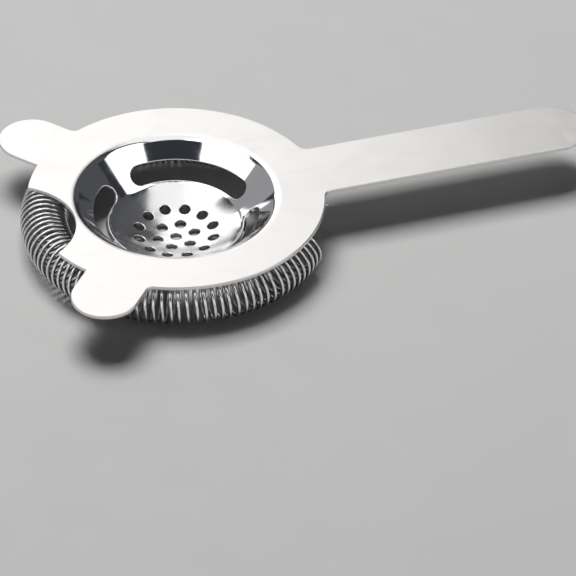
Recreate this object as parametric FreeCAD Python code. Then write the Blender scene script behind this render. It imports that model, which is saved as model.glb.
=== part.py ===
"""Hawthorne strainer: a stamped sheet plate with a drawn bowl, and a wire coil spring under it.

Units are millimetres. The origin is the centre of the ring, on the underside of the plate, which is
the face that rests on a shaker's rim. +X runs along the handle and +Z is up, out of the bowl.
"""
import FreeCAD, Part
import math
import os

Vec = FreeCAD.Vector
UP = Vec(0, 0, 1)
ORIGIN = Vec(0, 0, 0)

# ---- plate: one sheet, blanked and drawn -------------------------------------------------
SHEET = 1.2                 # thickness of the plate's sheet
RING_RADIUS = 41.0          # outer edge of the ring
RING_LAND = 13.3            # flat of the ring, from its outer edge to the corner of the bowl's mouth
EDGE_BREAK = 0.3            # rounding of the blanked outline
RIM_BREAK = 0.25            # rounding round the slots and holes
CORNER_RADIUS = 0.6         # the sharp corners of the outline, in plan

HANDLE_WIDTH = 20.2
HANDLE_LENGTH = 78.9        # from the ring's edge to the tip
HANDLE_ROOT_RADIUS = 2.6    # where the handle meets the ring

PRONG_WIDTH = 18.4
PRONG_LENGTH = 16.3         # from the ring's edge to the tip
PRONG_ANGLE = 50.0          # between the front, -X, and each prong
PRONG_ROOT_RADIUS = 2.0     # where a prong meets the ring, on the side nearer the handle

NOTCH_RADIUS = 17.8         # round gap in the front of the ring, for a finger and for the pour
NOTCH_LAND = 0.32           # flat left between the notch's floor and the bowl's lip

# ---- bowl, drawn down from the ring ------------------------------------------------------
BOWL_DEPTH = 14.3           # top face of the ring down to the inside of the bowl
WALL_WIDTH = 9.6            # level distance from the mouth's corner in to the floor's corner
FLOOR_SAG = 5.04            # floor's corner down to the lowest point of the floor
LIP_RADIUS = 3.2            # roll from the top face into the wall
KNUCKLE_RADIUS = 3.0        # inside turn from the wall into the floor

SLOT_COUNT = 3
SLOT_INSET = 7.0            # level distance from the mouth's corner in to the middle of the slots
SLOT_WIDTH = 5.7            # measured along the wall
SLOT_BRIDGE = 7.2           # sheet left between two slots, along their middle radius
FIRST_SLOT_ANGLE = 60.0

HOLE_DIAMETER = 3.0
HOLE_PITCH = 5.3            # from the middle hole to the first ring of holes, and between rings
HOLE_RINGS = 2
HOLES_IN_FIRST_RING = 6     # each ring further out has this many more

# ---- coil spring -------------------------------------------------------------------------
WIRE_DIAMETER = 1.0
COIL_DIAMETER = 13.0        # outside diameter of the coil
SPRING_PROUD = 2.0          # how far the coil stands out past the ring's edge
COIL_PITCH = 2.0            # along the middle of the coil
COIL_END_ANGLE = 38.0       # between the handle and each end of the coil
STEP_RADIUS = 12.0          # of the short level bends that lead from one half turn to the next
TAIL_BEND_RADIUS = 2.5      # bend into each straight tail
TAIL_GAP = 0.3              # straight wire between two bends of a tail
LAST_TAIL_ANGLE = 40.0      # heading in which the second tail leaves the coil
GATE_TRAVEL = 2.5           # how far the spring can slide under the plate, each way
HALF_TURNS_PER_LENGTH = 15  # the coil is written as lengths that meet face to face

# ---- straps that hold the spring's tails -------------------------------------------------
STRAP_SHEET = 0.7
STRAP_FOOT = 1.8            # width of each foot, which is spot-welded to the plate
TAIL_CLEARANCE = 0.3        # round the wire, to the plate and to the strap
TAIL_SPARE = 0.1            # straight tail left past each end of a strap at the ends of the slide

# ---- how the shapes are made -------------------------------------------------------------
OVERRUN = 20.0              # how far a round cutter runs past the sheet, up and down
SHARP_ANGLE = 20.0          # a rim between faces that meet at more than this is rounded
SEAT_LINE_SPREAD = 30.0     # each way round from the middle of a tab, for the line across its root

# ---- derived -----------------------------------------------------------------------------
HANDLE_REACH = RING_RADIUS + HANDLE_LENGTH
PRONG_REACH = RING_RADIUS + PRONG_LENGTH
MOUTH_RADIUS = RING_RADIUS - RING_LAND                  # where the wall would meet the top face
FLOOR_RADIUS = MOUTH_RADIUS - WALL_WIDTH                # where the wall would meet the floor
SLOPE = math.atan((BOWL_DEPTH - FLOOR_SAG) / WALL_WIDTH)
DOME_RADIUS = (FLOOR_RADIUS ** 2 + FLOOR_SAG ** 2) / (2 * FLOOR_SAG)
LIP_START = MOUTH_RADIUS + LIP_RADIUS * math.tan(SLOPE / 2)
NOTCH_CENTRE = LIP_START + NOTCH_LAND + NOTCH_RADIUS    # ring centre to the notch's centre
SLOT_RADIUS = MOUTH_RADIUS - SLOT_INSET

WIRE_RADIUS = WIRE_DIAMETER / 2
WIND_RADIUS = COIL_DIAMETER / 2 - WIRE_RADIUS           # coil axis to the middle of the wire
COIL_PATH_RADIUS = RING_RADIUS + SPRING_PROUD - COIL_DIAMETER / 2
TAIL_Z = -TAIL_CLEARANCE - WIRE_RADIUS                  # middle of the wire at the coil's top
COIL_SWEEP = math.radians(360 - 2 * COIL_END_ANGLE)
HALF_TURNS = 2 * round(COIL_SWEEP * COIL_PATH_RADIUS / COIL_PITCH) + 1
STEP_ANGLE = math.degrees(COIL_SWEEP) / HALF_TURNS      # round the ring, per half turn
HALF_STEP = math.tan(math.radians(STEP_ANGLE / 2))
LEAD = 2 * HALF_STEP * (COIL_PATH_RADIUS - STEP_RADIUS * HALF_STEP)     # per half turn

CHANNEL_RADIUS = WIRE_RADIUS + TAIL_CLEARANCE           # of the space inside a strap
STRAP_RADIUS = CHANNEL_RADIUS + STRAP_SHEET
STRAP_HALF_WIDTH = STRAP_RADIUS + STRAP_FOOT


def heading(degrees):
    """Level unit vector at an angle from +X."""
    angle = math.radians(degrees)
    return Vec(math.cos(angle), math.sin(angle), 0)


def turned(vector, axis, degrees):
    """A vector turned about an axis."""
    return FreeCAD.Rotation(axis, degrees).multVec(vector)


# ---- blank -------------------------------------------------------------------------------
def tab(width, reach, degrees):
    """Flat parallel-sided tab with a full round end, from the ring centre outward."""
    half = width / 2
    shoulder = reach - half
    corners = [Vec(0, -half, 0), Vec(shoulder, -half, 0), Vec(shoulder, half, 0), Vec(0, half, 0)]
    edges = [
        Part.makeLine(corners[0], corners[1]),
        Part.Arc(corners[1], Vec(reach, 0, 0), corners[2]).toShape(),
        Part.makeLine(corners[2], corners[3]),
        Part.makeLine(corners[3], corners[0]),
    ]
    solid = Part.Face(Part.Wire(edges)).extrude(UP * SHEET)
    solid.rotate(ORIGIN, UP, degrees)
    return solid


def round_corner(solid, corner, radius):
    """Round the one upright edge of the sheet that stands nearest a corner of the outline."""
    upright = [edge for edge in solid.Edges if edge.BoundBox.ZLength > SHEET / 2]
    nearest = min(upright, key=lambda edge: edge.distToShape(Part.Vertex(corner))[0])
    return solid.makeFillet(radius, [nearest])


def notch_corner():
    """Where the notch's edge meets the ring's edge, on the +Y side."""
    x = (RING_RADIUS ** 2 - NOTCH_RADIUS ** 2 + NOTCH_CENTRE ** 2) / (2 * NOTCH_CENTRE)
    return Vec(-x, math.sqrt(RING_RADIUS ** 2 - x ** 2), 0)


def ring_corner(width, degrees, side):
    """Where one side of a tab meets the ring's edge."""
    spread = math.degrees(math.asin(width / 2 / RING_RADIUS))
    return heading(degrees + side * spread) * RING_RADIUS


def mirrored(point):
    """The same point on the other side of the handle's middle line."""
    return Vec(point.x, -point.y, point.z)


def blank():
    """The flat sheet before it is drawn: ring, handle, two prongs and the front notch."""
    prong = 180 - PRONG_ANGLE
    tabs = [tab(HANDLE_WIDTH, HANDLE_REACH, 0)]
    tabs += [tab(PRONG_WIDTH, PRONG_REACH, angle) for angle in (prong, -prong)]
    solid = Part.makeCylinder(RING_RADIUS, SHEET).fuse(tabs)
    notch = Part.makeCylinder(NOTCH_RADIUS, SHEET, Vec(-NOTCH_CENTRE, 0, 0))
    solid = solid.cut(notch).removeSplitter()
    rounds = [
        (ring_corner(HANDLE_WIDTH, 0, 1), HANDLE_ROOT_RADIUS),
        (ring_corner(PRONG_WIDTH, prong, -1), PRONG_ROOT_RADIUS),
        (ring_corner(PRONG_WIDTH, prong, 1), CORNER_RADIUS),
        (notch_corner(), CORNER_RADIUS),
    ]
    for corner, radius in rounds:
        solid = round_corner(solid, corner, radius)
        solid = round_corner(solid, mirrored(corner), radius)
    level = [edge for edge in solid.Edges if edge.BoundBox.ZLength < EDGE_BREAK / 2]
    return solid.makeFillet(EDGE_BREAK, level)


# ---- bowl --------------------------------------------------------------------------------
def bowl_arcs():
    """Centres (radius, z) of the lip, knuckle and floor arcs, and the slope where the last two meet."""
    floor = (0.0, SHEET - BOWL_DEPTH + DOME_RADIUS)
    lip = (LIP_START, SHEET - LIP_RADIUS)
    arm = DOME_RADIUS - KNUCKLE_RADIUS
    reach = MOUTH_RADIUS * math.sin(SLOPE) + (floor[1] - SHEET) * math.cos(SLOPE)
    join = SLOPE - math.acos((reach - KNUCKLE_RADIUS) / arm)
    knuckle = (arm * math.sin(join), floor[1] - arm * math.cos(join))
    return lip, knuckle, floor, join


def on_arc(centre, radius, slope):
    """Point of an arc of the profile where its tangent has a slope; radius < 0 for the lip's roll."""
    return Vec(centre[0] + radius * math.sin(slope), 0, centre[1] - radius * math.cos(slope))


def skin(depth):
    """Edges of the bowl's profile at a depth below its inner face, from the ring to the axis."""
    lip, knuckle, floor, join = bowl_arcs()
    lip_radius = depth - LIP_RADIUS
    knuckle_radius = depth + KNUCKLE_RADIUS
    floor_radius = depth + DOME_RADIUS

    def arc(centre, radius, first, last):
        points = [on_arc(centre, radius, slope) for slope in (first, (first + last) / 2, last)]
        return Part.Arc(*points).toShape()

    wall = Part.makeLine(on_arc(lip, lip_radius, SLOPE), on_arc(knuckle, knuckle_radius, SLOPE))
    return [
        arc(lip, lip_radius, 0, SLOPE),
        wall,
        arc(knuckle, knuckle_radius, SLOPE, join),
        arc(floor, floor_radius, join, 0),
    ]


def bowl_shell():
    """The drawn bowl, from the start of its lip inward."""
    inner = skin(0)
    outer = skin(SHEET)
    lip_start = Part.makeLine(Vec(LIP_START, 0, SHEET), Vec(LIP_START, 0, 0))
    on_axis = Part.makeLine(Vec(0, 0, SHEET - BOWL_DEPTH), Vec(0, 0, -BOWL_DEPTH))
    wire = Part.Wire(Part.sortEdges(inner + outer + [lip_start, on_axis])[0])
    return Part.Face(wire).revolve(ORIGIN, UP, 360)


def slot_cutter(degrees):
    """Curved slot with round ends, pierced square to the wall and centred on an angle."""
    half = SLOT_WIDTH / 2
    depth = 2 * SHEET
    along = Vec(math.cos(SLOPE), 0, math.sin(SLOPE)) * half
    square = Vec(-math.sin(SLOPE), 0, math.cos(SLOPE)) * depth
    middle = Vec(SLOT_RADIUS, 0, SHEET - (MOUTH_RADIUS - SLOT_RADIUS) * math.tan(SLOPE))
    corners = [middle - square - along, middle - square + along,
               middle + square + along, middle + square - along]
    section = Part.Face(Part.makePolygon(corners + corners[:1]))
    end_angle = 180 / SLOT_COUNT - math.degrees((SLOT_BRIDGE / 2 + half) / SLOT_RADIUS)
    section.rotate(ORIGIN, UP, degrees - end_angle)
    run = section.revolve(ORIGIN, UP, 2 * end_angle)
    ends = []
    for side in (1, -1):
        end = Part.makeCylinder(half, 2 * depth, middle - square, square)
        end.rotate(ORIGIN, UP, degrees + side * end_angle)
        ends.append(end)
    return run.fuse(ends)


def hole_cutters():
    """Round holes in the floor: one on the axis and the rings round it."""
    middles = [ORIGIN]
    for ring in range(1, HOLE_RINGS + 1):
        count = HOLES_IN_FIRST_RING * ring
        middles += [heading(360 / count * index) * (HOLE_PITCH * ring) for index in range(count)]
    foot = Vec(0, 0, -BOWL_DEPTH - SHEET)
    return [Part.makeCylinder(HOLE_DIAMETER / 2, BOWL_DEPTH, middle + foot) for middle in middles]


def is_sharp(solid, edge):
    """Whether the two faces at an edge meet at a corner and not smoothly."""
    faces = [face for face in solid.Faces if any(edge.isSame(other) for other in face.Edges)]
    if len(faces) != 2:
        return False
    middle = edge.valueAt((edge.FirstParameter + edge.LastParameter) / 2)
    normals = [face.normalAt(*face.Surface.parameter(middle)) for face in faces]
    return normals[0].getAngle(normals[1]) > math.radians(SHARP_ANGLE)


def bowl():
    """The bowl with its slots and holes pierced and their rims rounded."""
    solid = bowl_shell()
    mouth = Part.makeCylinder(MOUTH_RADIUS, 2 * OVERRUN, Vec(0, 0, -OVERRUN))
    for index in range(SLOT_COUNT):
        solid = solid.cut(slot_cutter(FIRST_SLOT_ANGLE + 360 / SLOT_COUNT * index))
    solid = solid.cut(hole_cutters())
    rims = [edge for edge in solid.Edges
            if edge.distToShape(mouth)[0] == 0 and is_sharp(solid, edge)]
    return solid.makeFillet(RIM_BREAK, rims)


# ---- plate -------------------------------------------------------------------------------
def seat_lines():
    """Arcs on the underside that part the handle's and the prongs' faces from the ring's."""
    prong = 180 - PRONG_ANGLE
    radius = RING_RADIUS + HANDLE_ROOT_RADIUS
    return [Part.makeCircle(radius, ORIGIN, UP, angle - SEAT_LINE_SPREAD, angle + SEAT_LINE_SPREAD)
            for angle in (0, prong, -prong)]


def strainer_plate():
    """The whole plate: the blank, opened for the bowl that is drawn from it."""
    mouth = Part.makeCylinder(LIP_START, 2 * OVERRUN, Vec(0, 0, -OVERRUN))
    plate = blank().cut(mouth).fuse(bowl()).removeSplitter()
    pieces = plate.generalFuse(seat_lines())[0]
    return pieces.Solids[0]


# ---- spring ------------------------------------------------------------------------------
class WireTube:
    """Round wire laid along straight runs and tangent arcs, as lengths that meet face to face."""

    def __init__(self, start, direction):
        self.point = start
        self.direction = direction
        self.ring = Part.makeCircle(WIRE_RADIUS, start, direction)
        self.skins = [self.end_face()]
        self.lengths = []
        self.travelled = 0.0

    def end_face(self):
        """Round face across the wire, where it has got to."""
        return Part.Face(Part.Wire(self.ring.copy()))

    def run(self, length):
        """Straight run."""
        step = self.direction * length
        self.skins.append(self.ring.extrude(step))
        self.ring.translate(step)
        self.point = self.point + step
        self.travelled += length

    def bend(self, towards, radius, degrees):
        """Arc that turns towards a direction square to the wire."""
        centre = self.point + towards * radius
        axis = self.direction.cross(towards)
        self.skins.append(self.ring.revolve(centre, axis, degrees))
        self.ring.rotate(centre, axis, degrees)
        self.point = centre + turned(self.point - centre, axis, degrees)
        self.direction = turned(self.direction, axis, degrees)
        self.travelled += radius * math.radians(degrees)

    def bend_to(self, direction, radius):
        """Arc that turns the wire into a new direction."""
        square = direction - self.direction * self.direction.dot(direction)
        square.normalize()
        self.bend(square, radius, math.degrees(self.direction.getAngle(direction)))

    def end_length(self):
        """Close the length laid so far as a solid, and start the next from its end face."""
        shell = Part.makeShell(self.skins + [self.end_face()])
        shell.sewShape()
        self.lengths.append(Part.makeSolid(shell))
        self.skins = [self.end_face()]


def wind(wire, angle, side, share=1.0):
    """Half a turn in its own flat plane: side 1 goes down outside, side -1 comes up inside."""
    across = heading(angle + 90) * LEAD - UP * (side * 2 * WIND_RADIUS)
    radius = across.Length / 2
    across.normalize()
    wire.bend(across, radius, 180 * share)


def last_tail(wire):
    """Wire from the inside of the last turn, up to the plate and round to the handle's direction."""
    level = heading(LAST_TAIL_ANGLE)
    rise = TAIL_Z - wire.point.z
    angle = wire.direction.getAngle(level)
    wire.bend_to(level, rise / wire.direction.z / math.tan(angle / 2))
    wire.run(TAIL_GAP)
    wire.bend_to(Vec(1, 0, 0), TAIL_BEND_RADIUS)


def last_tail_start():
    """Point from which the last tail runs straight."""
    angle = 360 - COIL_END_ANGLE
    step = math.radians(STEP_ANGLE)
    inner_path = COIL_PATH_RADIUS * math.cos(step) - (STEP_RADIUS - LEAD / 2) * math.sin(step)
    climb = heading(angle + 90) * LEAD + UP * (2 * WIND_RADIUS)
    start = heading(angle) * (inner_path - climb.Length / 2) + UP * (TAIL_Z - WIND_RADIUS)
    climb.normalize()
    trial = WireTube(start, climb)
    last_tail(trial)
    return trial.point


LAST_TAIL_START = last_tail_start()
TAIL_OFFSET = -LAST_TAIL_START.y        # from the handle's middle line to each straight tail


def first_bends():
    """Where the first tail stops running straight, and the radius of its wide bend to the first turn."""
    outward = heading(COIL_END_ANGLE)
    along = heading(COIL_END_ANGLE + 90)
    top = outward * COIL_PATH_RADIUS - along * (LEAD / 2)
    setback = TAIL_BEND_RADIUS * math.tan(math.radians((90 - COIL_END_ANGLE) / 2))
    spare = top.y - TAIL_OFFSET - along.y * (setback + TAIL_GAP)
    sweep_radius = spare / (outward.y + along.y)
    corner = top - outward * sweep_radius
    knee = corner.x - along.x * (sweep_radius + TAIL_GAP + setback)
    return knee + setback, sweep_radius


FIRST_TAIL_STOP, SWEEP_RADIUS = first_bends()
STRAP_START = max(LAST_TAIL_START.x, FIRST_TAIL_STOP) + GATE_TRAVEL + TAIL_SPARE
STRAP_END = math.sqrt((RING_RADIUS - EDGE_BREAK) ** 2 - (TAIL_OFFSET + STRAP_HALF_WIDTH) ** 2)
STRAP_LENGTH = STRAP_END - STRAP_START
TAIL_END = STRAP_END + GATE_TRAVEL + TAIL_SPARE


def first_tail():
    """Wire from the first tail's tip, through its bends, to the top of the first turn."""
    wire = WireTube(Vec(TAIL_END, TAIL_OFFSET, TAIL_Z), Vec(-1, 0, 0))
    wire.run(TAIL_END - FIRST_TAIL_STOP)
    wire.bend_to(heading(COIL_END_ANGLE + 90), TAIL_BEND_RADIUS)
    wire.run(TAIL_GAP)
    wire.bend_to(heading(COIL_END_ANGLE), SWEEP_RADIUS)
    return wire


def coil_spring():
    """One wire: a tail, a close coil bent most of the way round the ring, and a tail."""
    wire = first_tail()
    for index in range(HALF_TURNS):
        if index % HALF_TURNS_PER_LENGTH == 0 and index < HALF_TURNS - 1:
            wire.end_length()
        angle = COIL_END_ANGLE + STEP_ANGLE * index
        side = 1 if index % 2 == 0 else -1
        wind(wire, angle, side)
        wire.bend_to(heading(angle + STEP_ANGLE) * -side, STEP_RADIUS)
    wind(wire, 360 - COIL_END_ANGLE, -1, 0.5)
    wire.end_length()
    last_tail(wire)
    wire.run(TAIL_END - wire.point.x)
    wire.end_length()
    return wire


# ---- straps ------------------------------------------------------------------------------
def tail_strap(side):
    """Saddle over one tail: a round channel with a foot on each side, welded under the plate."""
    start = Vec(STRAP_START, side * TAIL_OFFSET, 0)
    middle = start + Vec(0, 0, TAIL_Z)
    along = Vec(1, 0, 0)

    def block(half_width, low, high):
        corner = start + Vec(0, -half_width, low)
        return Part.makeBox(STRAP_LENGTH, 2 * half_width, high - low, corner)

    feet = block(STRAP_HALF_WIDTH, -STRAP_SHEET, 0)
    cheeks = block(STRAP_RADIUS, TAIL_Z, 0)
    arch = Part.makeCylinder(STRAP_RADIUS, STRAP_LENGTH, middle, along)
    arch = arch.cut(block(STRAP_HALF_WIDTH, 0, STRAP_RADIUS))
    channel = Part.makeCylinder(CHANNEL_RADIUS, STRAP_LENGTH, middle, along)
    saddle = feet.fuse([cheeks, arch])
    return saddle.cut([channel, block(CHANNEL_RADIUS, TAIL_Z, 0)]).removeSplitter()


def main():
    """Build every piece and write it to parts/."""
    os.makedirs("parts", exist_ok=True)
    wire = coil_spring()
    spring = Part.makeCompound(wire.lengths)
    pieces = {
        "strainer_plate": strainer_plate(),
        "coil_spring": spring,
        "spring_strap_left": tail_strap(1),
        "spring_strap_right": tail_strap(-1),
    }
    section = math.pi * WIRE_RADIUS ** 2
    print("wire %.0f mm, volume over section %.4f" % (wire.travelled, spring.Volume / section))
    for name, shape in pieces.items():
        print(name, "valid", shape.isValid(), "solids", len(shape.Solids), "volume %.1f" % shape.Volume)
        shape.exportStep("parts/%s.step" % name)


main()
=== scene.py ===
"""Looks of a hawthorne strainer: finishes for its plate and straps, its wound wire and a small studio.

Lengths are metres. The origin is the centre of the ring, on the underside of the plate. +X runs along
the handle and +Z is up, out of the bowl.
"""

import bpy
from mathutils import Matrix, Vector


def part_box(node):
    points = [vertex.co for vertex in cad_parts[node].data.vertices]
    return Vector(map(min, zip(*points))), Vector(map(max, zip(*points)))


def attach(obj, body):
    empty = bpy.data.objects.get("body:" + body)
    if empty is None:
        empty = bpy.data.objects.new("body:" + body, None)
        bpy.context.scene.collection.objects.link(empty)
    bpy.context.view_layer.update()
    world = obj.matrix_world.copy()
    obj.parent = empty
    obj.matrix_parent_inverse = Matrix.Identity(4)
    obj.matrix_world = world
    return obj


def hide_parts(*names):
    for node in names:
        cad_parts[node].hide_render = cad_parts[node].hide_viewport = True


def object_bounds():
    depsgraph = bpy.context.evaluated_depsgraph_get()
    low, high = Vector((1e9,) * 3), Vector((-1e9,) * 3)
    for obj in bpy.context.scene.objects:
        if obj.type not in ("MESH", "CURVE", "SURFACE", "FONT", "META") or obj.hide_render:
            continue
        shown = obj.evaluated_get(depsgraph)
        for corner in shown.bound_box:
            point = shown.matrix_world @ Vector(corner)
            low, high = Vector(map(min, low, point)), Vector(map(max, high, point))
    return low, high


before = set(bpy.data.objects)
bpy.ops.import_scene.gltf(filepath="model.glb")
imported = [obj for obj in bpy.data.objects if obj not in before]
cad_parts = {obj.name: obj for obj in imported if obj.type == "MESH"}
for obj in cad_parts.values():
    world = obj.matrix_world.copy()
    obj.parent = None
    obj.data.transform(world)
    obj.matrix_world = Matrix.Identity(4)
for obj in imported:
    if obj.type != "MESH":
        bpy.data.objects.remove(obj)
CAD_BOX = [list(corner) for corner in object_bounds()]

import math

import bpy
import numpy as np
from bpy.props import FloatProperty, FloatVectorProperty, PointerProperty
from mathutils import Matrix, Quaternion, Vector

bl_info = {
    "name": "Hawthorne strainer",
    "version": (1, 0, 0),
    "blender": (4, 5, 0),
    "location": "3D Viewport > Sidebar > Strainer",
    "description": "Finishes the strainer's plate and straps, winds its spring and sets its studio",
    "category": "Object",
}

UP = Vector((0, 0, 1))

# ---- sizes that follow the sheet metal ---------------------------------------------------
RING_RADIUS = 0.0410            # outer edge of the ring
SATIN_EDGE = 0.0284             # outside this the sheet is satin, as the ring is
BOWL_EDGE = 0.0278              # inside this it is the bowl's brighter polish
FLOOR_EDGE = 0.0187             # inside this it is the bowl's floor, which is polished less
FLOOR_FADE = 0.003              # from the wall's polish to the floor's
HOLES_EDGE = 0.0135             # inside this are the round holes
HOLES_FADE = 0.0005             # from a hole's wall to the bowl round the holes
TOUCHED = (0.0980, 0.1060)      # from here to the handle's tip, fingers leave their marks
RUB_START = (0.0415, 0.0423)    # a shaker's rim rubs the underside from here
RUB_END = (0.0450, 0.0462)      # to here
STRAP_SHEET = 0.0007
STRAP_FOOT = 0.0018             # width of each foot of a strap

# ---- which way a face looks, as the height of its normal ---------------------------------
SHEARED_FACE = (0.25, 0.6)      # cut edges of the blank
PIERCED_FACE = (0.15, 0.45)     # walls of the round holes
UNDER_FACE = (-0.35, -0.1)      # underside
# the wire's sides that face the next turns are given painted shade, and made duller
SIDE_OF_WIRE = (0.4, 0.9)       # along the ring instead: sides of the wire that face the next turns

# ---- how fine each mark is, per metre ----------------------------------------------------
GRAIN_BANDS = (9.0, 900.0, 900.0)
HAIRLINES = (                   # direction, per metre along and across, least noise that makes a mark
    (0.35, 80.0, 9000.0, 0.74),
    (-0.9, 110.0, 11000.0, 0.76),
    (1.5, 70.0, 8000.0, 0.76),
)
SCRATCHED_PATCHES = 90.0
DRAW_LINES_ROUND = 2.0          # per radian round the bowl
DRAW_LINES_ACROSS = 9000.0
SHEAR_LINES = (5200.0, 5200.0, 500.0)
POLISH_WAVES = 95.0
FINGER_MARKS = 240.0
DIE_LINES = (1.5, 34.0, 1.0)    # per millimetre along the wire, and in one turn about it

# ---- depths of marks ---------------------------------------------------------------------
SCRATCH_DEPTH = 0.0000002
PIT_DEPTH = 0.0000015
SHEAR_DEPTH = 0.000012
DIE_LINE_DEPTH = 0.0000035
WIRE_PIT_DEPTH = 0.000003
STRAP_GRAIN_DEPTH = 0.000006
WELD_DEPTH = 0.00006

# ---- colours of marks, as shares of the clean colour -------------------------------------
WORN = 0.86
CUT = 0.72
# the round holes' walls: dark partly as torn steel and partly as painted shade
TORN_AND_SHADED = 0.25
DULL_WIRE = 0.78
WORN_STRAP = 0.80

# ---- how much of a mark's colour shows where the mark is full ----------------------------
FILM_TINT = 0.14
SCRATCH_TINT = 0.12
SHEAR_TINT = 0.5
UNDERSIDE_TINT = 0.75
RUB_TINT = 0.5
WIRE_FILM_TINT = 0.4
WIRE_PIT_TINT = 0.5
HEAT_TINT = 0.65

# ---- roughness that a mark adds where it is full -----------------------------------------
GRAIN_DULLING = 0.06
FILM_DULLING = 0.03
SCRATCH_DULLING = 0.05
UNDERSIDE_DULLING = 0.08
CUT_DULLING = 0.14
RUB_SHINE = 0.15                # taken off instead
WIRE_FILM_DULLING = 0.08
DIE_LINE_DULLING = 0.05
WIRE_SIDE_DULLING = 0.15
WIRE_SCRATCH_DULLING = 0.1
STRAP_GRAIN_DULLING = 0.16
STRAP_SCRATCH_DULLING = 0.1
HEAT_DULLING = 0.08
BRIGHTEST_POLISH = 0.03         # least roughness of the plate

# ---- noise from none of a mark to all of it ----------------------------------------------
PATCH_CUT = (0.42, 0.62)
SMEAR_CUT = (0.5, 0.72)
FINGER_CUT = (0.42, 0.6)
HAIRLINE_FADE = 0.05

# ---- how marks are spread ----------------------------------------------------------------
GRAIN_BAND_SHARE = 0.4          # of soft bands in the grain, the rest being fine lines
SMEAR_STRETCH = (0.35, 1.0, 1.0)    # smears run long the way the handle runs
SMEARS_PER_CLOUD = 2.2
PIT_SIZE = (0.02, 0.07)         # of a pit's spacing
WELD_DIMPLE = (0.35, 0.5)       # of a weld's diameter, from its middle
WELD_HEAT = (0.4, 0.9)          # likewise

# ---- how the wire is laid ----------------------------------------------------------------
STEP_RADIUS = 0.012             # short level bends that lead from one half turn to the next
TAIL_BEND_RADIUS = 0.0025
TAIL_GAP = 0.0003               # straight wire between two bends of a tail
LAST_TAIL_ANGLE = math.radians(40)
BEND_STEP = math.radians(12)    # of the arcs, between two rings of the wire's skin
WIRE_SIDES = 16
ROUND_OFF = 0.001               # of a step, left out so that an even number of steps stays even
END_CHAMFER = 0.00012           # on the cut ends of the wire
SETTLE_SPAN = math.radians(12)  # from each end of the coil, where its turns are quite even
SWAYS = ((11.0, 0.4, 0.45), (23.0, 1.9, 0.35), (41.0, 4.1, 0.20))  # waves round the ring, phase, share
MAP_SCALE = 1000                # the map along the wire runs in millimetres

# ---- stage -------------------------------------------------------------------------------
FLOOR_GAP = 0.00005             # between the floor and the bottom of the bowl
SENSOR_WIDTH = 36.0             # millimetres
NEAREST, FURTHEST = 0.02, 100.0     # that the camera shows
BOARD_MOTTLE = 60.0             # per metre
BOARD_TOOTH = 3500.0            # per metre
TOOTH_DEPTH = 0.00002
MOTTLE_CUT = (0.3, 0.7)         # noise from none of the mottle to all of it
BOARD_SHADE = 0.97              # of the board's colour, where the mottle is full
BOARD_ROUGHNESS = (0.62, 0.70)

# Each softbox's name, bearing from straight ahead and elevation in degrees, distance, width and height,
# share of the brightness, and whether the steel shows it or the floor is lit by it
SOFTBOXES = (
    ("softbox_ahead_left", -18.5, 38, 1.2, 0.96, 1.28, 1.0, "STEEL"),
    ("softbox_behind_left", -103, 55, 1.2, 1.04, 1.07, 1.1, "STEEL"),
    ("softbox_behind_right", 104, 45, 1.2, 0.72, 0.78, 1.1, "STEEL"),
    ("softbox_overhead", 0, 88, 1.4, 1.10, 1.30, 0.78, "STEEL"),
    ("fill_left", -66, 18, 1.3, 1.15, 1.05, 0.22, "STEEL"),
    ("fill_right", 48, 30, 1.3, 1.10, 1.10, 0.035, "STEEL"),
    ("fill_behind", 180, 17, 1.3, 2.20, 0.75, 0.53, "STEEL"),
    ("fill_behind_left", -122, 12, 1.3, 1.50, 0.70, 0.45, "STEEL"),
    ("fill_behind_right", 118, 10, 1.3, 1.50, 0.60, 0.45, "STEEL"),
    ("key_overhead", -25, 74, 1.4, 0.75, 0.75, 10.8, "FLOOR"),
)


def level(angle):
    """Level unit vector at an angle from +X."""
    return Vector((math.cos(angle), math.sin(angle), 0))


def rgba(colour, share=1.0):
    """Opaque colour, or a share of it."""
    return tuple(part * share for part in colour) + (1.0,)


# ---- node helpers ------------------------------------------------------------------------
def place(tree, kind, inputs=None, **settings):
    """Adds a node, makes its settings, and fills or links its inputs."""
    made = tree.nodes.new(kind)
    for name, value in settings.items():
        setattr(made, name, value)
    for key, value in (inputs or {}).items():
        if isinstance(value, bpy.types.NodeSocket):
            tree.links.new(value, made.inputs[key])
        else:
            made.inputs[key].default_value = value
    return made


def maths(tree, operation, *values, clamp=False):
    """Result of a Math node."""
    return place(tree, "ShaderNodeMath", dict(enumerate(values)), operation=operation,
                 use_clamp=clamp).outputs[0]


def remap(tree, value, low, high, to_low=0.0, to_high=1.0, smooth=False):
    """Value taken from one range to another, held at its ends."""
    kind = "SMOOTHSTEP" if smooth else "LINEAR"
    sockets = {"Value": value, "From Min": low, "From Max": high, "To Min": to_low, "To Max": to_high}
    return place(tree, "ShaderNodeMapRange", sockets, interpolation_type=kind).outputs[0]


def blend(tree, share, first, second):
    """Value between two values."""
    return place(tree, "ShaderNodeMix", {0: share, 2: first, 3: second}, data_type="FLOAT").outputs[0]


def tint(tree, share, first, second):
    """Colour between two colours."""
    return place(tree, "ShaderNodeMix", {0: share, 6: first, 7: second}, data_type="RGBA").outputs[2]


def noise(tree, vector, scale, detail=2.0, roughness=0.5, distortion=0.0):
    """Noise value at a vector."""
    sockets = {"Vector": vector, "Scale": scale, "Detail": detail, "Roughness": roughness,
               "Distortion": distortion}
    return place(tree, "ShaderNodeTexNoise", sockets).outputs[0]


def scaled(tree, vector, factors):
    """Vector times one factor for each axis."""
    return place(tree, "ShaderNodeVectorMath", {0: vector, 1: factors}, operation="MULTIPLY").outputs[0]


def spun(tree, vector, angle):
    """Vector turned about Z."""
    return place(tree, "ShaderNodeVectorRotate", {"Vector": vector, "Angle": angle},
                 rotation_type="Z_AXIS").outputs[0]


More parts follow.
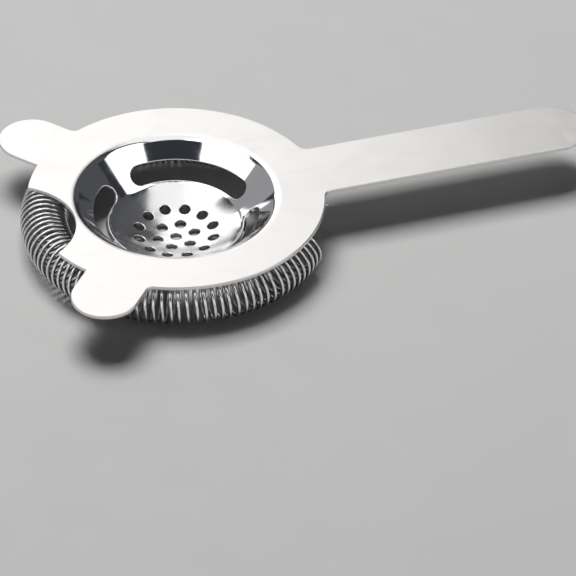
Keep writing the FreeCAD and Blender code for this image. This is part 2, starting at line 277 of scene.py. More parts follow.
def own_place(tree):
    """Position on the piece itself, so that a finish moves with its piece."""
    return place(tree, "ShaderNodeTexCoord").outputs["Object"]


def new_group(name, inputs, outputs):
    """Empty shader node group with named sockets."""
    group = bpy.data.node_groups.new(name, "ShaderNodeTree")
    for label, kind, default in inputs:
        socket = group.interface.new_socket(label, in_out="INPUT", socket_type="NodeSocket" + kind)
        if default is not None:
            socket.default_value = default
    for label, kind in outputs:
        group.interface.new_socket(label, in_out="OUTPUT", socket_type="NodeSocket" + kind)
    return group, group.nodes.new("NodeGroupInput").outputs, group.nodes.new("NodeGroupOutput").inputs


def use_group(tree, maker, **sockets):
    """Places a shared effect, which is built the first time that it is used."""
    group = bpy.data.node_groups.get(maker.__name__) or maker(maker.__name__)
    inputs = {name.replace("_", " "): value for name, value in sockets.items()}
    return place(tree, "ShaderNodeGroup", inputs, node_tree=group).outputs


# ---- shared effects ----------------------------------------------------------------------
def abrasive_grain(name):
    """Fine lines along X, as an abrasive belt leaves them."""
    group, given, result = new_group(
        name, [("Vector", "Vector", None), ("Line Length", "Float", 0.02), ("Line Width", "Float", 0.0001)],
        [("Height", "Float"), ("Value", "Float")])
    along = maths(group, "DIVIDE", 1.0, given["Line Length"])
    across = maths(group, "DIVIDE", 1.0, given["Line Width"])
    factors = place(group, "ShaderNodeCombineXYZ", {0: along, 1: across, 2: across}).outputs[0]
    lines = noise(group, scaled(group, given["Vector"], factors), 1.0, detail=3.0, roughness=0.7)
    bands = noise(group, scaled(group, given["Vector"], GRAIN_BANDS), 1.0, detail=1.0)
    group.links.new(lines, result["Height"])
    group.links.new(blend(group, GRAIN_BAND_SHARE, lines, bands), result["Value"])
    return group


def hairlines(name):
    """Stray hairline scratches from use, thin and in patches."""
    group, given, result = new_group(
        name, [("Vector", "Vector", None), ("Amount", "Float", 1.0)], [("Mask", "Float")])
    marks = None
    for angle, along, across, cut in HAIRLINES:
        turned = scaled(group, spun(group, given["Vector"], angle), (along, across, across))
        lines = remap(group, noise(group, turned, 1.0, detail=0.0), cut, cut + HAIRLINE_FADE)
        marks = lines if marks is None else maths(group, "MAXIMUM", marks, lines)
    patches = noise(group, given["Vector"], SCRATCHED_PATCHES, detail=2.0)
    marks = maths(group, "MULTIPLY", marks, remap(group, patches, *PATCH_CUT, smooth=True))
    group.links.new(maths(group, "MULTIPLY", marks, given["Amount"], clamp=True), result["Mask"])
    return group


def handled_film(name):
    """Faint film and cloudiness where the steel has been wiped and handled."""
    group, given, result = new_group(
        name, [("Vector", "Vector", None), ("Patch Size", "Float", 0.012)],
        [("Value", "Float"), ("Mask", "Float")])
    scale = maths(group, "DIVIDE", 1.0, given["Patch Size"])
    cloud = noise(group, given["Vector"], scale, detail=5.0, roughness=0.6, distortion=0.4)
    smears = noise(group, scaled(group, given["Vector"], SMEAR_STRETCH),
                   maths(group, "MULTIPLY", scale, SMEARS_PER_CLOUD), detail=3.0, distortion=1.2)
    group.links.new(cloud, result["Value"])
    group.links.new(remap(group, smears, *SMEAR_CUT, smooth=True), result["Mask"])
    return group


def pin_pits(name):
    """Tiny pits left in polished or drawn steel."""
    group, given, result = new_group(
        name, [("Vector", "Vector", None), ("Spacing", "Float", 0.002)], [("Mask", "Float")])
    scale = maths(group, "DIVIDE", 1.0, given["Spacing"])
    cells = place(group, "ShaderNodeTexVoronoi", {"Vector": given["Vector"], "Scale": scale})
    group.links.new(remap(group, cells.outputs["Distance"], *PIT_SIZE, 1.0, 0.0), result["Mask"])
    return group


# ---- materials ---------------------------------------------------------------------------
def start_material(name):
    """Material with nothing in it."""
    material = bpy.data.materials.new(name)
    material.use_nodes = True
    tree = material.node_tree
    tree.nodes.clear()
    return material, tree


def shader(tree, colour, roughness, height, depth=1.0, **constants):
    """Principled shader with varying colour, roughness and bump, and constant other values."""
    bump = place(tree, "ShaderNodeBump", {"Height": height, "Distance": depth, "Strength": 1.0}).outputs[0]
    inputs = {"Base Color": colour, "Roughness": roughness, "Normal": bump}
    inputs.update((label.replace("_", " "), value) for label, value in constants.items())
    return place(tree, "ShaderNodeBsdfPrincipled", inputs).outputs[0]


def end_material(tree, surface):
    """Gives the material its surface."""
    place(tree, "ShaderNodeOutputMaterial", {"Surface": surface})


def tinted(tree, colour, layers):
    """Colour with layers laid over it, each a mask, its share and its colour."""
    for mask, share, shade in layers:
        colour = tint(tree, maths(tree, "MULTIPLY", mask, share), colour, shade)
    return colour


def summed(tree, total, layers):
    """Value with layers added to it, each a mask and the value where it is full."""
    for mask, amount in layers:
        total = maths(tree, "MULTIPLY_ADD", mask, amount, total)
    return total


def plate_material(looks):
    """Stamped steel: satin flats, a bright drawn bowl, sheared edges, and round holes whose walls are dark
    partly as torn steel and partly as painted shade.
    """
    material, tree = start_material("satin_and_bright_steel")
    here = own_place(tree)
    x, y, z = place(tree, "ShaderNodeSeparateXYZ", {0: here}).outputs
    squares = maths(tree, "ADD", maths(tree, "MULTIPLY", x, x), maths(tree, "MULTIPLY", y, y))
    radius = maths(tree, "SQRT", squares)
    normal = place(tree, "ShaderNodeNewGeometry").outputs["Normal"]
    rise = place(tree, "ShaderNodeSeparateXYZ", {0: normal}).outputs[2]
    level_face = maths(tree, "ABSOLUTE", rise)

    flat = remap(tree, radius, BOWL_EDGE, SATIN_EDGE, smooth=True)
    in_bowl = maths(tree, "SUBTRACT", 1.0, flat)
    in_floor = remap(tree, radius, FLOOR_EDGE - FLOOR_FADE, FLOOR_EDGE, 1.0, 0.0, smooth=True)
    in_holes = remap(tree, radius, HOLES_EDGE, HOLES_EDGE + HOLES_FADE, 1.0, 0.0)
    sheared = maths(tree, "MULTIPLY", remap(tree, level_face, *SHEARED_FACE, 1.0, 0.0), flat)
    # walls of the round holes, whose dark colour is partly painted shade
    pierced = maths(tree, "MULTIPLY", remap(tree, level_face, *PIERCED_FACE, 1.0, 0.0), in_holes)
    underneath = remap(tree, rise, *UNDER_FACE, 1.0, 0.0)

    grain = use_group(tree, abrasive_grain, Vector=here, Line_Length=0.016, Line_Width=0.00009)
    scratches = use_group(tree, hairlines, Vector=here, Amount=1.0)["Mask"]
    film = use_group(tree, handled_film, Vector=here, Patch_Size=0.014)
    pits = use_group(tree, pin_pits, Vector=here, Spacing=0.0035)["Mask"]
    bearing = maths(tree, "ARCTAN2", y, x)
    rounds = place(tree, "ShaderNodeCombineXYZ",
                   {0: maths(tree, "MULTIPLY", bearing, DRAW_LINES_ROUND),
                    1: maths(tree, "MULTIPLY", radius, DRAW_LINES_ACROSS),
                    2: maths(tree, "MULTIPLY", z, DRAW_LINES_ACROSS)}).outputs[0]
    draw_lines = noise(tree, rounds, 1.0, detail=2.0, roughness=0.6)
    shear_lines = noise(tree, scaled(tree, here, SHEAR_LINES), 1.0, detail=2.0)
    waves = noise(tree, here, POLISH_WAVES, detail=1.0)
    marks = noise(tree, here, FINGER_MARKS, detail=3.0, distortion=0.8)
    touched = maths(tree, "MULTIPLY", remap(tree, x, *TOUCHED, smooth=True),
                    remap(tree, marks, *FINGER_CUT, smooth=True))
    rub = maths(tree, "MULTIPLY", remap(tree, radius, *RUB_START, smooth=True),
                remap(tree, radius, *RUB_END, 1.0, 0.0, smooth=True))
    rub = maths(tree, "MULTIPLY", rub, maths(tree, "MULTIPLY", underneath, grain["Value"]))

    worn, cut, torn_and_shaded = (rgba(looks.steel_colour, share) for share in (WORN, CUT, TORN_AND_SHADED))
    # the last layer, on the round holes' walls, is partly painted shade
    colour = tinted(tree, tint(tree, flat, rgba(looks.bowl_colour), rgba(looks.steel_colour)), (
        (film["Mask"], FILM_TINT, worn), (scratches, SCRATCH_TINT, cut), (sheared, SHEAR_TINT, cut),
        (underneath, UNDERSIDE_TINT, cut), (rub, RUB_TINT, worn), (pierced, 1.0, torn_and_shaded)))
    bowl_polish = blend(tree, in_floor, looks.bowl_roughness, looks.floor_roughness)
    roughness = summed(tree, blend(tree, flat, bowl_polish, looks.satin_roughness), (
        (film["Value"], looks.cloudiness),
        (grain["Value"], maths(tree, "MULTIPLY", flat, GRAIN_DULLING)),
        (film["Mask"], FILM_DULLING), (scratches, SCRATCH_DULLING), (touched, looks.smudge),
        (underneath, UNDERSIDE_DULLING), (rub, -RUB_SHINE),
        (maths(tree, "MAXIMUM", sheared, pierced), CUT_DULLING)))
    height = summed(tree, 0.0, (
        (grain["Height"], maths(tree, "MULTIPLY", flat, looks.grain_depth)),
        (draw_lines, maths(tree, "MULTIPLY", in_bowl, looks.draw_depth)), (waves, looks.wave_depth),
        (scratches, -SCRATCH_DEPTH), (pits, -PIT_DEPTH),
        (maths(tree, "MULTIPLY", shear_lines, sheared), SHEAR_DEPTH)))
    roughness = maths(tree, "MAXIMUM", roughness, BRIGHTEST_POLISH)
    end_material(tree, shader(tree, colour, roughness, height, Metallic=1.0))
    return material


def wire_material(looks):
    """Bright drawn spring wire, with die lines along it, and painted shade on its duller sides between its
    turns.
    """
    material, tree = start_material("drawn_spring_wire")
    here = own_place(tree)
    along = place(tree, "ShaderNodeUVMap", uv_map="along_wire").outputs[0]
    die_lines = noise(tree, scaled(tree, along, DIE_LINES), 1.0, detail=3.0, roughness=0.7)
    scratches = use_group(tree, hairlines, Vector=here, Amount=0.8)["Mask"]
    film = use_group(tree, handled_film, Vector=here, Patch_Size=0.006)
    pits = use_group(tree, pin_pits, Vector=here, Spacing=0.0012)["Mask"]
    x, y, _ = place(tree, "ShaderNodeSeparateXYZ", {0: here}).outputs
    backward = maths(tree, "MULTIPLY", y, -1.0)
    round_ring = place(tree, "ShaderNodeCombineXYZ", {0: backward, 1: x}).outputs[0]
    round_ring = place(tree, "ShaderNodeVectorMath", {0: round_ring}, operation="NORMALIZE").outputs[0]
    normal = place(tree, "ShaderNodeNewGeometry").outputs["Normal"]
    sideways = place(tree, "ShaderNodeVectorMath", {0: normal, 1: round_ring}, operation="DOT_PRODUCT")
    sideways = maths(tree, "ABSOLUTE", sideways.outputs["Value"])
    # mask of the sides that face the next turns: it lays painted shade on them and makes them duller
    between = remap(tree, sideways, *SIDE_OF_WIRE, smooth=True)

    dull = rgba(looks.wire_colour, DULL_WIRE)
    # the layer on the sides between turns is painted shade, at full share
    colour = tinted(tree, rgba(looks.wire_colour), (
        (film["Mask"], WIRE_FILM_TINT, dull), (between, 1.0, rgba(looks.painted_shade_between_turns)),
        (pits, WIRE_PIT_TINT, dull)))
    roughness = summed(tree, looks.wire_roughness, (
        (film["Value"], WIRE_FILM_DULLING), (die_lines, DIE_LINE_DULLING),
        (between, WIRE_SIDE_DULLING), (scratches, WIRE_SCRATCH_DULLING)))
    height = summed(tree, 0.0, ((die_lines, DIE_LINE_DEPTH), (pits, -WIRE_PIT_DEPTH)))
    end_material(tree, shader(tree, colour, roughness, height, Metallic=1.0))
    return material


def strap_material(looks, welds):
    """Brushed steel with a spot weld in each foot."""
    material, tree = start_material("brushed_strap_steel")
    here = own_place(tree)
    across = spun(tree, here, math.pi / 2)
    grain = use_group(tree, abrasive_grain, Vector=across, Line_Length=0.006, Line_Width=0.00007)
    scratches = use_group(tree, hairlines, Vector=here, Amount=1.0)["Mask"]
    film = use_group(tree, handled_film, Vector=here, Patch_Size=0.004)
    weld = None
    for centre in welds:
        away = place(tree, "ShaderNodeVectorMath", {0: here, 1: centre}, operation="DISTANCE")
        away = away.outputs["Value"]
        weld = away if weld is None else maths(tree, "MINIMUM", weld, away)
    dimple, heat = (
        remap(tree, weld, looks.weld_diameter * start, looks.weld_diameter * end, 1.0, 0.0, smooth=True)
        for start, end in (WELD_DIMPLE, WELD_HEAT))

    colour = tinted(tree, rgba(looks.steel_colour), (
        (film["Mask"], 1.0, rgba(looks.steel_colour, WORN_STRAP)),
        (heat, HEAT_TINT, rgba(looks.heat_colour))))
    roughness = summed(tree, looks.roughness, (
        (grain["Value"], STRAP_GRAIN_DULLING), (scratches, STRAP_SCRATCH_DULLING), (heat, HEAT_DULLING)))
    height = summed(tree, 0.0, ((grain["Height"], STRAP_GRAIN_DEPTH), (dimple, -WELD_DEPTH)))
    end_material(tree, shader(tree, colour, roughness, height, Metallic=1.0))
    return material


def floor_material(stage):
    """Pale matt board, clear from beneath so that the underside can be looked at."""
    material, tree = start_material("pale_matt_board")
    here = own_place(tree)
    mottle = noise(tree, here, BOARD_MOTTLE, detail=4.0)
    tooth = noise(tree, here, BOARD_TOOTH, detail=2.0)
    colour = tint(tree, mottle, rgba(stage.floor_colour), rgba(stage.floor_colour, BOARD_SHADE))
    roughness = remap(tree, mottle, *MOTTLE_CUT, *BOARD_ROUGHNESS)
    board = shader(tree, colour, roughness, tooth, TOOTH_DEPTH, Specular_IOR_Level=0.3)
    clear = place(tree, "ShaderNodeBsdfTransparent").outputs[0]
    beneath = place(tree, "ShaderNodeNewGeometry").outputs["Backfacing"]
    end_material(tree, place(tree, "ShaderNodeMixShader", {0: beneath, 1: board, 2: clear}).outputs[0])
    return material


# ---- the wire ----------------------------------------------------------------------------
class WireLine:
    """Middle line of a wire laid along straight runs and tangent arcs."""

    def __init__(self, start, direction):
        self.points = [start.copy()]
        self.point = start.copy()
        self.direction = direction.copy()

    def run(self, length):
        """Straight run."""
        self.point = self.point + self.direction * length
        self.points.append(self.point.copy())

    def bend(self, towards, radius, angle):
        """Arc that turns towards a direction square to the wire."""
        centre = self.point + towards * radius
        axis = self.direction.cross(towards)
        arm = self.point - centre
        steps = max(1, math.ceil(angle / BEND_STEP - ROUND_OFF))
        for step in range(1, steps + 1):
            self.points.append(centre + Quaternion(axis, angle * step / steps) @ arm)
        self.point = self.points[-1].copy()
        self.direction = Quaternion(axis, angle) @ self.direction

    def bend_to(self, direction, radius):
        """Arc that turns the wire into a new direction."""
        square = (direction - self.direction * self.direction.dot(direction)).normalized()
        self.bend(square, radius, self.direction.angle(direction))


class CoilPlan:
    """Everything that the coil's sizes settle."""

    def __init__(self, sizes):
        self.wire_radius = sizes.wire_diameter / 2
        self.wind_radius = (sizes.coil_diameter - sizes.wire_diameter) / 2
        self.path_radius = RING_RADIUS + sizes.proud - sizes.coil_diameter / 2
        self.end_angle = sizes.end_angle
        self.sweep = 2 * math.pi - 2 * sizes.end_angle
        self.half_turns = 2 * round(self.sweep * self.path_radius / sizes.pitch) + 1
        self.step = self.sweep / self.half_turns
        half_step = math.tan(self.step / 2)
        self.lead = 2 * half_step * (self.path_radius - STEP_RADIUS * half_step)
        self.top = -sizes.clearance - self.wire_radius
        self.tail_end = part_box("coil_spring")[1].x
        self.tail_offset = self.last_tail_offset()

    def wind(self, wire, angle, side, share=1.0):
        """Half a turn in its own flat plane: side 1 goes down outside, side -1 comes up inside."""
        across = level(angle + math.pi / 2) * self.lead - UP * (side * 2 * self.wind_radius)
        wire.bend(across.normalized(), across.length / 2, math.pi * share)

    def last_tail(self, wire):
        """Wire from the inside of the last turn, up to the plate and round to the handle's direction."""
        away = level(LAST_TAIL_ANGLE)
        rise = self.top - wire.point.z
        angle = wire.direction.angle(away)
        wire.bend_to(away, rise / wire.direction.z / math.tan(angle / 2))
        wire.run(TAIL_GAP)
        wire.bend_to(Vector((1, 0, 0)), TAIL_BEND_RADIUS)

    def last_tail_offset(self):
        """Distance from the handle's middle line at which the last tail runs straight."""
        angle = 2 * math.pi - self.end_angle
        inner_path = (self.path_radius * math.cos(self.step)
                      - (STEP_RADIUS - self.lead / 2) * math.sin(self.step))
        climb = level(angle + math.pi / 2) * self.lead + UP * (2 * self.wind_radius)
        start = level(angle) * (inner_path - climb.length / 2) + UP * (self.top - self.wind_radius)
        trial = WireLine(start, climb.normalized())
        self.last_tail(trial)
        return -trial.point.y

    def first_tail(self):
        """Wire from the first tail's tip, through its bends, to the top of the first turn."""
        outward = level(self.end_angle)
        along = level(self.end_angle + math.pi / 2)
        top = outward * self.path_radius - along * (self.lead / 2)
        setback = TAIL_BEND_RADIUS * math.tan((math.pi / 2 - self.end_angle) / 2)
        spare = top.y - self.tail_offset - along.y * (setback + TAIL_GAP)
        sweep_radius = spare / (outward.y + along.y)
        knee = (top - outward * sweep_radius).x - along.x * (sweep_radius + TAIL_GAP + setback)
        wire = WireLine(Vector((self.tail_end, self.tail_offset, self.top)), Vector((-1, 0, 0)))
        wire.run(self.tail_end - knee - setback)
        wire.bend_to(along, TAIL_BEND_RADIUS)
        wire.run(TAIL_GAP)
        wire.bend_to(outward, sweep_radius)
        return wire

    def whole_wire(self):
        """Points along the whole wire, tail to tail."""
        wire = self.first_tail()
        for index in range(self.half_turns):
            angle = self.end_angle + self.step * index
            side = 1 if index % 2 == 0 else -1
            self.wind(wire, angle, side)
            wire.bend_to(level(angle + self.step) * -side, STEP_RADIUS)
        self.wind(wire, 2 * math.pi - self.end_angle, -1, 0.5)
        self.last_tail(wire)
        wire.run(self.tail_end - wire.point.x)
        return wire.points


def sway_turns(points, plan, amount):
    """Shifts the turns a little along the ring, so that their spacing isn't machine even."""
    line = np.array([point[:] for point in points])
    bearing = np.arctan2(line[:, 1], line[:, 0]) % (2 * math.pi)
    from_end = np.minimum(bearing - plan.end_angle, 2 * math.pi - plan.end_angle - bearing)
    share = np.clip(from_end / SETTLE_SPAN, 0, 1)
    share = share * share * (3 - 2 * share)
    shift = sum(part * np.sin(waves * bearing + phase) for waves, phase, part in SWAYS)
    turn = share * shift * amount / plan.path_radius
    cos, sin = np.cos(turn), np.sin(turn)
    line[:, 0], line[:, 1] = line[:, 0] * cos - line[:, 1] * sin, line[:, 0] * sin + line[:, 1] * cos
    return line


def tube_mesh(name, line, radius):
    """Round tube along a line of points, with chamfered ends and a map of length and turn."""
    steps = np.diff(line, axis=0)
    lengths = np.linalg.norm(steps, axis=1)
    steps /= lengths[:, None]
    headings = np.vstack([steps[:1], steps[:-1] + steps[1:], steps[-1:]])
    headings /= np.linalg.norm(headings, axis=1)[:, None]
    sides = np.empty_like(line)
    side = np.cross(headings[0], UP)
    for index, ahead in enumerate(headings):
        side = side - ahead * side.dot(ahead)
        side /= np.linalg.norm(side)
        sides[index] = side
    ups = np.cross(headings, sides)
    travelled = np.concatenate([[0.0], np.cumsum(lengths)])
    radii = np.full(len(line), radius)

    def ends(array, first, last):
        return np.concatenate([[first], array, [last]])

    chamfered = radius - END_CHAMFER
    line = np.vstack([line[:1], line[:1] + headings[:1] * END_CHAMFER, line[1:-1],
                      line[-1:] - headings[-1:] * END_CHAMFER, line[-1:]])
    sides = np.vstack([sides[:1], sides, sides[-1:]])
    ups = np.vstack([ups[:1], ups, ups[-1:]])
    travelled = ends(travelled, travelled[0], travelled[-1])
    radii = ends(radii, chamfered, chamfered)

    around = np.arange(WIRE_SIDES) * 2 * math.pi / WIRE_SIDES
    rings = (line[:, None, :]
             + sides[:, None, :] * (np.cos(around)[None, :] * radii[:, None])[..., None]
             + ups[:, None, :] * (np.sin(around)[None, :] * radii[:, None])[..., None])
    count = len(line)
    corners = rings.reshape(-1, 3)
    ring_index = np.arange(count - 1)[:, None] * WIRE_SIDES
    here = np.arange(WIRE_SIDES)[None, :]
    after = (here + 1) % WIRE_SIDES
    quads = np.stack([ring_index + here, ring_index + after, ring_index + WIRE_SIDES + after,
                      ring_index + WIRE_SIDES + here], axis=-1).reshape(-1, 4)
    last_ring = (count - 1) * WIRE_SIDES
    caps = [list(range(WIRE_SIDES))[::-1], list(range(last_ring, last_ring + WIRE_SIDES))]
    mesh = bpy.data.meshes.new(name)
    mesh.from_pydata(corners.tolist(), [], quads.tolist() + caps)
    mesh.shade_smooth()
    for polygon in mesh.polygons[-2:]:
        polygon.use_smooth = False

    turn = np.concatenate([around, [2 * math.pi]]) / (2 * math.pi)
    u = travelled[:, None] * MAP_SCALE + np.zeros(WIRE_SIDES + 1)[None, :]
    v = turn[None, :] + np.zeros(count)[:, None]
    grid = np.stack([u, v], axis=-1)
    i = np.repeat(np.arange(count - 1), WIRE_SIDES)
    j = np.tile(np.arange(WIRE_SIDES), count - 1)
    loops = np.stack([grid[i, j], grid[i, j + 1], grid[i + 1, j + 1], grid[i + 1, j]], axis=1)
    loops = loops.reshape(-1, 2)
    cap_loops = np.tile(np.array([[0.0, 0.0]]), (2 * WIRE_SIDES, 1))
    layer = mesh.uv_layers.new(name="along_wire")
    layer.data.foreach_set("uv", np.vstack([loops, cap_loops]).astype(np.float32).ravel())
    mesh.update()
    mesh.validate()
    return mesh


# ---- what a user can change --------------------------------------------------------------
class StrainerPlateLooks(bpy.types.PropertyGroup):
    """Finish of the stamped plate."""

    steel_colour: FloatVectorProperty(
        name="Steel colour", description="Colour of the satin flats", subtype="COLOR", size=3,
        default=(0.955, 0.932, 0.91), min=0, max=1)
    bowl_colour: FloatVectorProperty(
        name="Bowl colour", description="Colour of the brighter polish in the bowl", subtype="COLOR",
        size=3, default=(0.93, 0.93, 0.935), min=0, max=1)
    satin_roughness: FloatProperty(
        name="Satin roughness", description="Roughness of the flat ring, prongs and handle",
        default=0.31, min=0.02, max=1, subtype="FACTOR")
    bowl_roughness: FloatProperty(
        name="Bowl roughness", description="Roughness of the wall of the drawn bowl",
        default=0.04, min=0.02, max=1, subtype="FACTOR")
    floor_roughness: FloatProperty(
        name="Bowl floor roughness", description="Roughness of the bowl's pierced floor",
        default=0.17, min=0.02, max=1, subtype="FACTOR")
    cloudiness: FloatProperty(
        name="Cloudiness", description="How much the polish varies from place to place",
        default=0.05, min=0, max=0.5, subtype="FACTOR")
    smudge: FloatProperty(
        name="Smudges", description="How dull finger marks make the handle's tip",
        default=0.10, min=0, max=0.5, subtype="FACTOR")
    grain_depth: FloatProperty(
        name="Grain depth", description="Depth of the fine lines on the flats",
        default=0.0000012, min=0, max=0.0001, precision=7, unit="LENGTH")
    draw_depth: FloatProperty(
        name="Draw line depth", description="Depth of the rings that drawing leaves in the bowl",
        default=0.0000006, min=0, max=0.0001, precision=7, unit="LENGTH")
    wave_depth: FloatProperty(
        name="Wave depth", description="Depth of the slow waves that hand polishing leaves",
        default=0.00006, min=0, max=0.001, precision=7, unit="LENGTH")


class StrainerSpringSizes(bpy.types.PropertyGroup):
    """Sizes and finish of the wound spring."""

    wire_diameter: FloatProperty(
        name="Wire diameter", description="Diameter of the spring's wire",
        default=0.001, min=0.0005, max=0.0016, precision=4, unit="LENGTH")
    coil_diameter: FloatProperty(
        name="Coil diameter", description="Outside diameter of the coil",
        default=0.013, min=0.008, max=0.013, precision=4, unit="LENGTH")
    pitch: FloatProperty(
        name="Pitch", description="Distance from one turn to the next along the coil's middle",
        default=0.002, min=0.0012, max=0.006, precision=4, unit="LENGTH")
    proud: FloatProperty(
        name="Stands proud", description="How far the coil stands out past the ring's edge",
        default=0.002, min=0, max=0.002, precision=4, unit="LENGTH")
    clearance: FloatProperty(
        name="Clearance", description="Gap between the plate and the top of the coil",
        default=0.0003, min=0, max=0.001, precision=4, unit="LENGTH")
    end_angle: FloatProperty(
        name="End angle", description="Between the handle and each end of the coil",
        default=math.radians(38), min=0.3, max=1.2, subtype="ANGLE")
    sway: FloatProperty(
        name="Sway", description="How far a turn may stand from its even place",
        default=0.00032, min=0, max=0.0004, precision=5, unit="LENGTH")
    wire_colour: FloatVectorProperty(
        name="Wire colour", description="Colour of the wire", subtype="COLOR", size=3,
        default=(0.90, 0.905, 0.91), min=0, max=1)
    # painted shade: the dark colour laid on the wire's sides that face the next turns
    painted_shade_between_turns: FloatVectorProperty(
        name="Between turns", description="Colour of the wire's sides, which polishing doesn't reach",
        subtype="COLOR", size=3, default=(0.28, 0.28, 0.285), min=0, max=1)
    wire_roughness: FloatProperty(
        name="Wire roughness", description="Roughness of the wire where it is cleanest",
        default=0.07, min=0.02, max=1, subtype="FACTOR")


class StrainerStrapLooks(bpy.types.PropertyGroup):
    """Finish of the two straps that hold the spring's tails."""

    steel_colour: FloatVectorProperty(
        name="Steel colour", description="Colour of the straps", subtype="COLOR", size=3,
        default=(0.80, 0.80, 0.79), min=0, max=1)
    heat_colour: FloatVectorProperty(
        name="Heat colour", description="Colour that welding leaves round each spot", subtype="COLOR",
        size=3, default=(0.52, 0.43, 0.30), min=0, max=1)
    roughness: FloatProperty(
        name="Roughness", description="Roughness of the brushed straps", default=0.26, min=0.02, max=1,
        subtype="FACTOR")
    weld_diameter: FloatProperty(
        name="Weld diameter", description="Diameter of each spot weld", default=0.0012, min=0.0005,
        max=0.003, precision=4, unit="LENGTH")


class StrainerStage(bpy.types.PropertyGroup):
    """Floor, lights and camera."""

    floor_colour: FloatVectorProperty(
        name="Floor colour", description="Colour of the floor", subtype="COLOR", size=3,
        default=(0.50, 0.498, 0.493), min=0, max=1)
    floor_size: FloatProperty(
        name="Floor size", description="Side of the square floor", default=30.0, min=2, unit="LENGTH")
    softbox_brightness: FloatProperty(
        name="Softbox brightness", description="Brightness of a softbox's face, against white",
        default=1.18, min=0)
    room_colour: FloatVectorProperty(
        name="Room colour", description="Light of the room beyond the softboxes", subtype="COLOR", size=3,
        default=(0.030, 0.032, 0.038), min=0, max=1)
    backdrop_colour: FloatVectorProperty(
        name="Backdrop colour", description="Colour seen beyond the floor", subtype="COLOR", size=3,
        default=(0.50, 0.50, 0.50), min=0, max=1)
    bearing: FloatProperty(
        name="Camera bearing", description="Camera's angle round the strainer from -Y",
        default=math.radians(-18.64), subtype="ANGLE")
    elevation: FloatProperty(
        name="Camera elevation", description="Camera's angle above the floor",
        default=math.radians(38.15), subtype="ANGLE")
    roll: FloatProperty(
        name="Camera roll", description="Camera's turn about its own line of sight",
        default=math.radians(1.09), subtype="ANGLE")
    distance: FloatProperty(
        name="Camera distance", description="From the ring's centre to the camera",
        default=1.2359, min=0.1, unit="LENGTH")
    aside: FloatVectorProperty(
        name="Camera aside", description="Camera's move to its right and up, square to its line of sight",
        default=(0.03069, -0.02454), size=2, unit="LENGTH")
    lens: FloatProperty(
        name="Lens", description="Focal length in millimetres", default=281.25, min=20)


# ---- operators ---------------------------------------------------------------------------
class STRAINER_OT_finish_plate(bpy.types.Operator):
    """Give the stamped plate its satin flats and bright bowl"""

    bl_idname = "strainer.finish_plate"
    bl_label = "Finish plate"

    def execute(self, context):
        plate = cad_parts["strainer_plate"]
        material = plate_material(context.scene.strainer_plate)
        for slot in plate.material_slots:
            slot.material = material
        return {"FINISHED"}


class STRAINER_OT_wind_spring(bpy.types.Operator):
    """Wind the spring from one wire, tail to tail"""

    bl_idname = "strainer.wind_spring"
    bl_label = "Wind spring"

    def execute(self, context):
        sizes = context.scene.strainer_spring
        plan = CoilPlan(sizes)
        line = sway_turns(plan.whole_wire(), plan, sizes.sway)
        spring = bpy.data.objects.new("wound_spring", tube_mesh("wound_spring", line, plan.wire_radius))
        context.scene.collection.objects.link(spring)
        spring.data.materials.append(wire_material(sizes))
        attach(spring, "spring")
        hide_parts("coil_spring")
        return {"FINISHED"}


class STRAINER_OT_finish_straps(bpy.types.Operator):
    """Give the two straps their brushed finish and spot welds"""

    bl_idname = "strainer.finish_straps"
    bl_label = "Finish straps"

    def execute(self, context):
        looks = context.scene.strainer_straps
        names = ("spring_strap_left", "spring_strap_right")
        welds = []
        for name in names:
            low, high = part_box(name)
            middle = (low.x + high.x) / 2
            foot = (high.y - low.y) / 2 - STRAP_FOOT / 2
            centre = (low.y + high.y) / 2
            welds += [(middle, centre + side * foot, -STRAP_SHEET) for side in (-1, 1)]
        material = strap_material(looks, welds)
        for name in names:
            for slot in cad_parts[name].material_slots:
                slot.material = material
        return {"FINISHED"}


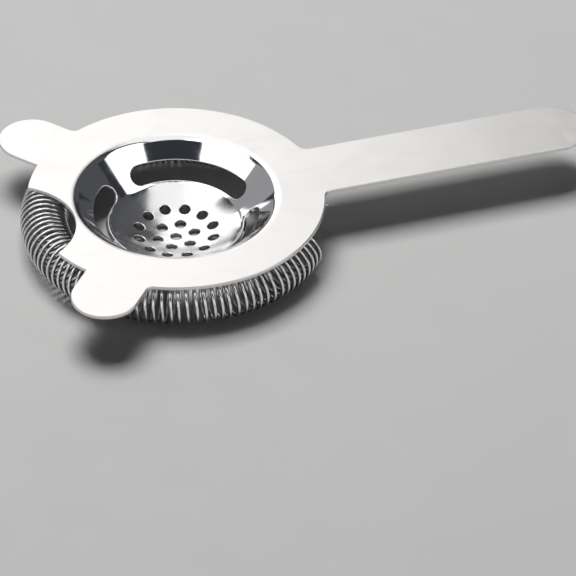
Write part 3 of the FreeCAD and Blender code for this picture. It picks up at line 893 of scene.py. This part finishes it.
class STRAINER_OT_set_stage(bpy.types.Operator):
    """Set the floor, the softboxes, the room and the camera"""

    bl_idname = "strainer.set_stage"
    bl_label = "Set stage"

    def execute(self, context):
        stage = context.scene.strainer_stage
        self.lay_floor(context, stage)
        self.light_room(context, stage)
        ahead = Vector((-math.sin(stage.bearing), math.cos(stage.bearing), 0))
        rightward = Vector((math.cos(stage.bearing), math.sin(stage.bearing), 0))
        for name, bearing, elevation, distance, width, height, share, lit in SOFTBOXES:
            angle, rise = math.radians(bearing), math.radians(elevation)
            out = (ahead * math.cos(angle) + rightward * math.sin(angle)) * math.cos(rise)
            out += UP * math.sin(rise)
            light = bpy.data.lights.new(name, "AREA")
            light.shape = "RECTANGLE"
            light.size, light.size_y = width, height
            light.energy = stage.softbox_brightness * share * math.pi * width * height
            softbox = bpy.data.objects.new(name, light)
            softbox.location = out * distance
            softbox.rotation_mode = "QUATERNION"
            softbox.rotation_quaternion = out.to_track_quat("Z", "Y")
            softbox.visible_camera = False
            softbox.visible_diffuse = lit == "FLOOR"
            softbox.visible_glossy = lit == "STEEL"
            context.scene.collection.objects.link(softbox)
        self.set_camera(context, stage, rightward)
        return {"FINISHED"}

    def lay_floor(self, context, stage):
        """Square floor just under the bowl."""
        half = stage.floor_size / 2
        height = CAD_BOX[0][2] - FLOOR_GAP
        mesh = bpy.data.meshes.new("studio_floor")
        corners = [(x, y, height) for x, y in ((-half, -half), (half, -half), (half, half), (-half, half))]
        mesh.from_pydata(corners, [], [(0, 1, 2, 3)])
        mesh.materials.append(floor_material(stage))
        floor = bpy.data.objects.new("studio_floor", mesh)
        context.scene.collection.objects.link(floor)

    def light_room(self, context, stage):
        """Dim room all round, and a pale backdrop beyond the floor."""
        world = bpy.data.worlds.new("studio_room")
        world.use_nodes = True
        tree = world.node_tree
        tree.nodes.clear()
        seen = place(tree, "ShaderNodeLightPath").outputs["Is Camera Ray"]
        colour = tint(tree, seen, rgba(stage.room_colour), rgba(stage.backdrop_colour))
        background = place(tree, "ShaderNodeBackground", {"Color": colour})
        place(tree, "ShaderNodeOutputWorld", {"Surface": background.outputs[0]})
        context.scene.world = world
        context.scene.view_settings.view_transform = "Standard"

    def set_camera(self, context, stage, rightward):
        """Camera at its bearing and elevation, moved aside to frame the whole strainer."""
        out = Vector((math.sin(stage.bearing) * math.cos(stage.elevation),
                      -math.cos(stage.bearing) * math.cos(stage.elevation), math.sin(stage.elevation)))
        upward = out.cross(rightward)
        across = rightward * math.cos(stage.roll) + upward * math.sin(stage.roll)
        above = upward * math.cos(stage.roll) - rightward * math.sin(stage.roll)
        place_at = out * stage.distance + across * stage.aside[0] + above * stage.aside[1]
        camera = bpy.data.objects.new("camera", bpy.data.cameras.new("camera"))
        camera.data.lens = stage.lens
        camera.data.sensor_width = SENSOR_WIDTH
        camera.data.clip_start, camera.data.clip_end = NEAREST, FURTHEST
        turned = Matrix((across, above, out)).transposed().to_4x4()
        camera.matrix_world = Matrix.Translation(place_at) @ turned
        context.scene.collection.objects.link(camera)
        context.scene.camera = camera


OPERATORS = (STRAINER_OT_finish_plate, STRAINER_OT_wind_spring, STRAINER_OT_finish_straps,
             STRAINER_OT_set_stage)
SETTINGS = {"strainer_plate": StrainerPlateLooks, "strainer_spring": StrainerSpringSizes,
            "strainer_straps": StrainerStrapLooks, "strainer_stage": StrainerStage}


class STRAINER_PT_sidebar(bpy.types.Panel):
    """Strainer's settings and its operators"""

    bl_idname = "STRAINER_PT_sidebar"
    bl_label = "Hawthorne strainer"
    bl_space_type = "VIEW_3D"
    bl_region_type = "UI"
    bl_category = "Strainer"

    def draw(self, context):
        for operator, (name, kind) in zip(OPERATORS, SETTINGS.items()):
            box = self.layout.box()
            for label in kind.__annotations__:
                box.prop(getattr(context.scene, name), label)
            box.operator(operator.bl_idname)


def register():
    """Registers the settings, operators and panel."""
    for kind in (*SETTINGS.values(), *OPERATORS, STRAINER_PT_sidebar):
        bpy.utils.register_class(kind)
    for name, kind in SETTINGS.items():
        setattr(bpy.types.Scene, name, PointerProperty(type=kind))


def unregister():
    """Takes everything out again."""
    for name in SETTINGS:
        delattr(bpy.types.Scene, name)
    for kind in (STRAINER_PT_sidebar, *reversed(OPERATORS), *reversed(SETTINGS.values())):
        bpy.utils.unregister_class(kind)


def main():
    """Makes the whole scene, in order."""
    register()
    bpy.ops.strainer.finish_plate()
    bpy.ops.strainer.wind_spring()
    bpy.ops.strainer.finish_straps()
    bpy.ops.strainer.set_stage()


if __name__ == "__main__":
    main()
